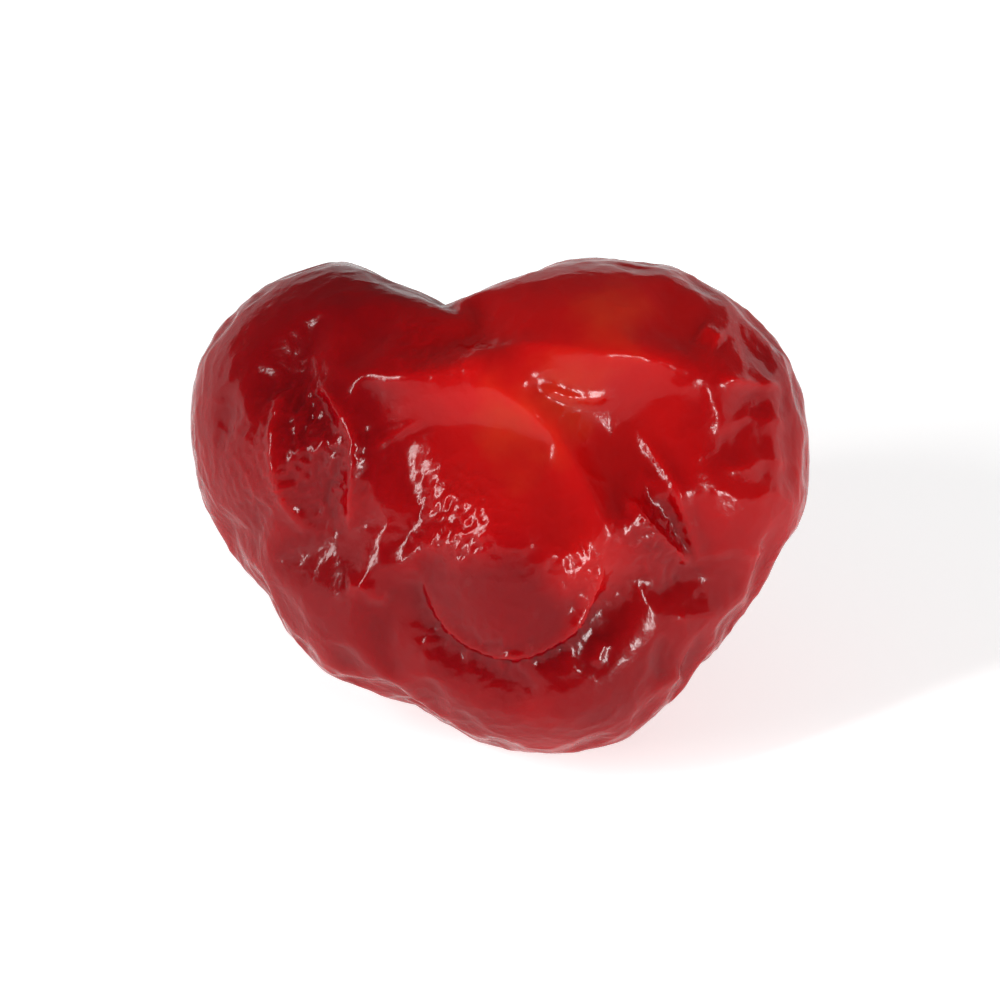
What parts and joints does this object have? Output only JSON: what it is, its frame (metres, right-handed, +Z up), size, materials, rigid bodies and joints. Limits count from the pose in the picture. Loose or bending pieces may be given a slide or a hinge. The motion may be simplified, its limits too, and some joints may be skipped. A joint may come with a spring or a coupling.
{
  "type": "candied cherry",
  "caption": "Pitted candied cherry, heart-shaped and shrivelled, with translucent syrup-glazed red skin; rests on a small flat spot.",
  "frame": {"origin": "on the surface that the fruit rests on, under the middle of its box", "axes": "+Z up; +X along the fruit's width, towards its fuller right shoulder seen from the front; +Y from its front to its back"},
  "size_m": [0.02, 0.0166, 0.015],
  "materials": {
    "candied_flesh": "translucent deep red sugar-syrup glaze, wet gloss over crinkled skin"
  },
  "bodies": {
    "root": {"cherry": "candied_flesh"}
  },
  "joints": []
}
